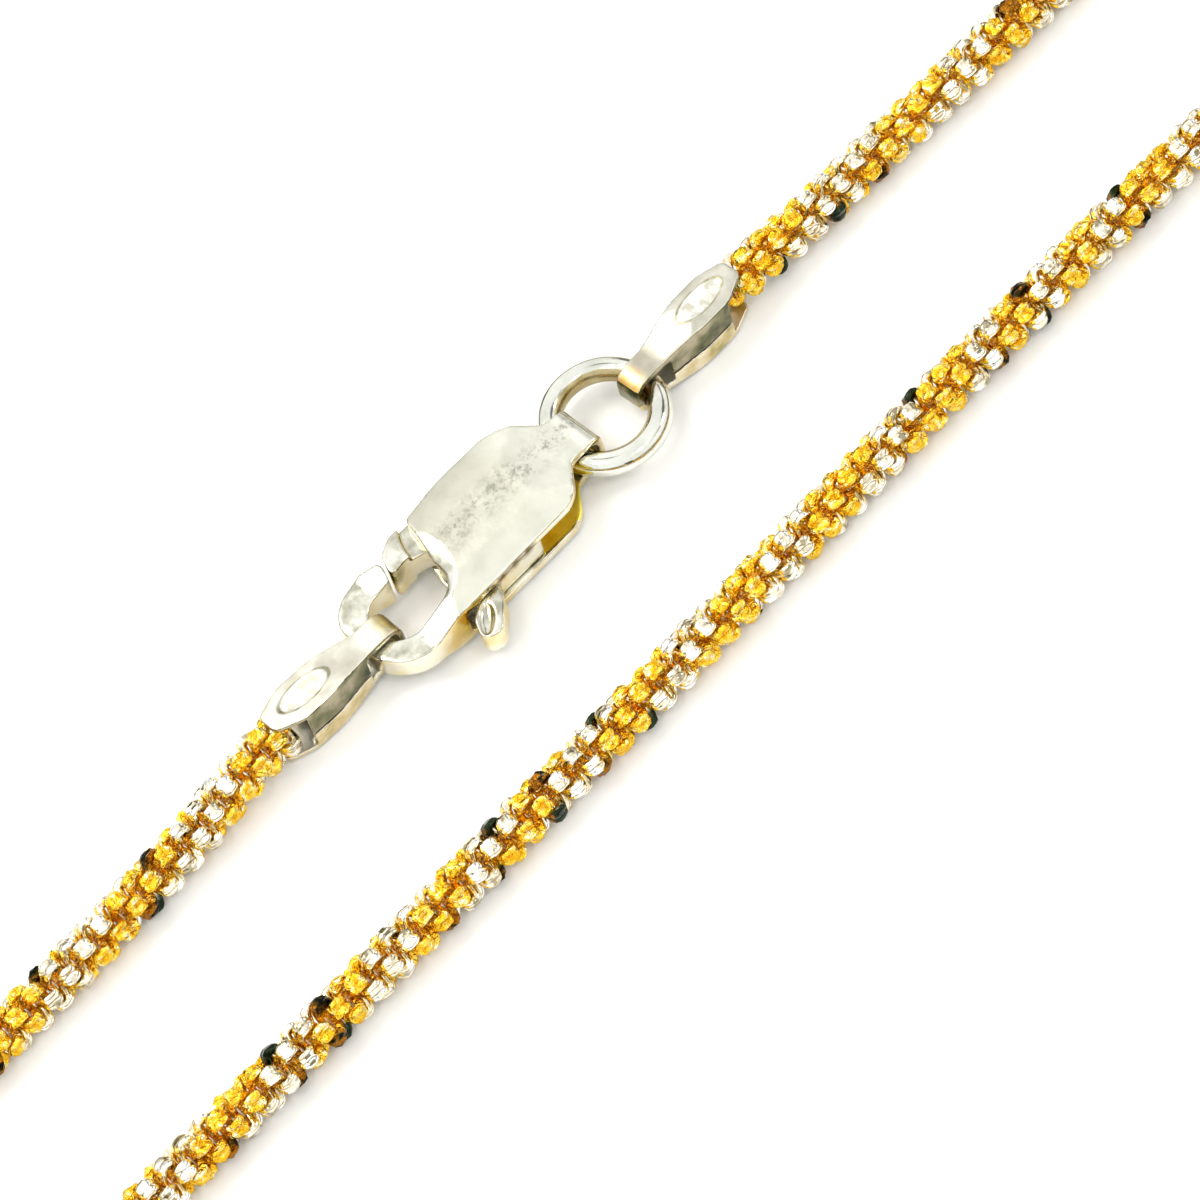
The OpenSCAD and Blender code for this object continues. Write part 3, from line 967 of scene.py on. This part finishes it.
def dress(node_name, name, body, chosen, voxel, rounds):
    """One fitting in the chosen metals: each is a material and a test of its faces' normals and places."""
    obj = softened(node_name, name, voxel, rounds)
    mesh = obj.data
    normal = face_values(mesh, "normal")
    centre = face_values(mesh, "center") / MM
    index = np.zeros(len(mesh.polygons), dtype=np.int32)
    for number, (made, test) in enumerate(chosen):
        mesh.materials.append(made)
        index[test(normal, centre)] = number
    mesh.polygons.foreach_set("material_index", index)
    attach(obj, body)
    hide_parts(node_name)


def everywhere(normal, centre):
    """All faces."""
    return np.ones(len(normal), dtype=bool)


def on_plate(normal, centre):
    """The top of the upper plate, without the bevel."""
    from_bevel = np.hypot(centre[:, 0] - BEVEL_AT[0], centre[:, 1] - BEVEL_AT[1])
    return (normal[:, 2] > LEVEL_FROM) & (centre[:, 2] > PLATE_FROM_Z) & (from_bevel > BEVEL_R)


def on_side(normal, centre):
    """Upright faces, which take a painted warm reflection."""
    return np.abs(normal[:, 2]) < UPRIGHT_TO


def in_slot(normal, centre):
    """Faces between the plates, beyond the lever's end, which take a painted reflection of the gold chain.
    """
    between = np.abs(centre[:, 2] - MID_Z) < SLOT_HALF
    inward = np.abs(centre[:, 1] - CLASP_Y) < SLOT_SIDE
    return between & inward & (centre[:, 0] > SLOT_FROM) & (centre[:, 0] < SLOT_TO)


def above_middle(normal, centre):
    """The upper half of a cap."""
    return centre[:, 2] > MID_Z


def above_seam(normal, centre):
    """Upright faces of a cap above its seam, which take painted shade."""
    return (np.abs(normal[:, 2]) < CAP_UPRIGHT_TO) & (centre[:, 2] > SEAM_Z)


def below_seam(normal, centre):
    """Upright faces of a cap below its seam, which take a painted warm reflection."""
    return (np.abs(normal[:, 2]) < CAP_UPRIGHT_TO) & (centre[:, 2] <= SEAM_Z)


def inside_ring(normal, centre):
    """The side of the ring's wire that faces the ring's middle, which takes painted shade."""
    away = unit(centre[:, :2] - np.array(RING_AT))
    return (normal[:, :2] * away).sum(axis=1) < -INWARD_FROM


def cap_faces(metals, top):
    """What a cap's faces are made of: its leaves, with the oval panel on the upper one, and its sides, in
    painted shade above the seam and a painted warm reflection below it.
    """
    return [
        (metals["cap"], everywhere), (metals[top], above_middle), (metals["cap_painted_shade_side"], above_seam),
        (metals["cap_painted_warm_reflection_under"], below_seam),
    ]


def add_fittings(metals):
    """The clasp, its lever, the end caps and the jump ring."""
    clasp = [
        (metals["bright"], everywhere), (metals["side"], on_side), (metals["plate"], on_plate),
        (metals["slot"], in_slot),
    ]
    lever = [(metals["bright"], everywhere), (metals["side"], on_side)]
    cap_left = cap_faces(metals, "cap_top_left")
    cap_right = cap_faces(metals, "cap_top_right")
    ring = [(metals["ring"], everywhere), (metals["ring_inside_painted_shade"], inside_ring)]
    dress("clasp_body", "clasp", "necklace", clasp, voxel=0.06, rounds=8)
    dress("clasp_lever", "lever", "lever", lever, voxel=0.055, rounds=8)
    dress("end_cap_left", "cap_left", "necklace", cap_left, voxel=0.05, rounds=7)
    dress("end_cap_right", "cap_right", "necklace", cap_right, voxel=0.05, rounds=7)
    dress("jump_ring", "ring", "necklace", ring, voxel=0.05, rounds=3)
    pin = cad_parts["clasp_pin"]
    pin.data.materials.clear()
    pin.data.materials.append(metals["bright"])


# Floor and light

def add_floor():
    """A plain pale floor, wide enough for every view."""
    mesh = bpy.data.meshes.new("floor")
    corners = [(x * FLOOR_HALF_M, y * FLOOR_HALF_M, 0) for x, y in ((-1, -1), (1, -1), (1, 1), (-1, 1))]
    mesh.from_pydata(corners, [], [(0, 1, 2, 3)])
    made, shader = material("floor")
    shader.inputs["Roughness"].default_value = FLOOR_ROUGHNESS
    shader.inputs["Specular IOR Level"].default_value = FLOOR_SHINE
    tree = made.node_tree
    tree.links.new(mottled(tree, FLOOR_SCALE, FLOOR_COLOURS), shader.inputs["Base Color"])
    mesh.materials.append(made)
    floor = new_object("floor", mesh)


def add_light(name, place, size, power, colour):
    """A soft round light at these angles that faces the middle of the piece."""
    data = bpy.data.lights.new(name, "AREA")
    data.shape = "DISK"
    data.size = size * MM
    data.energy = power
    data.color = colour
    lamp = new_object(name, data)
    away = direction_to(*place)
    lamp.location = away * LIGHT_DISTANCE * MM
    lamp.rotation_euler = away.to_track_quat("Z", "Y").to_euler()


def add_world():
    """A white tent with darker places low down and between its screens, plain white to the camera."""
    world = bpy.data.worlds.new("tent")
    world.use_nodes = True
    tree = world.node_tree
    shader = tree.nodes["Background"]
    place = tree.nodes.new("ShaderNodeTexCoord").outputs["Generated"]
    split = tree.nodes.new("ShaderNodeSeparateXYZ")
    tree.links.new(place, split.inputs[0])
    dome = ramp(tree, mapped(tree, split.outputs["Z"], -1.0, 1.0, 0.0, 1.0), TENT_COLOURS)
    screens = node(tree, "ShaderNodeTexNoise", Scale=SCREEN_SCALE, Detail=1.0)
    tree.links.new(place, screens.inputs["Vector"])
    tent = multiply_colours(tree, dome, ramp(tree, screens.outputs["Fac"], SCREEN_COLOURS))
    path = tree.nodes.new("ShaderNodeLightPath")
    white = tree.nodes.new("ShaderNodeRGB").outputs[0]
    white.default_value = SEEN_WHITE
    seen = blend_colours(tree, path.outputs["Is Camera Ray"], tent, white)
    tree.links.new(seen, shader.inputs["Color"])
    shader.inputs["Strength"].default_value = TENT_STRENGTH
    bpy.context.scene.world = world


add_camera()
bpy.context.scene.view_settings.view_transform = "Standard"
metals = {**link_metals(), **clasp_metals(), **cap_metals(), **ring_metals()}
add_chain(metals)
add_fittings(metals)
add_floor()
add_world()
add_light("key", KEY_AT, KEY_SIZE, KEY_POWER, KEY_COLOUR)
for number, place in enumerate(SPARKS_AT, start=1):
    add_light(f"spark_{number}", place, SPARK_SIZE, SPARK_POWER, SPARK_COLOUR)
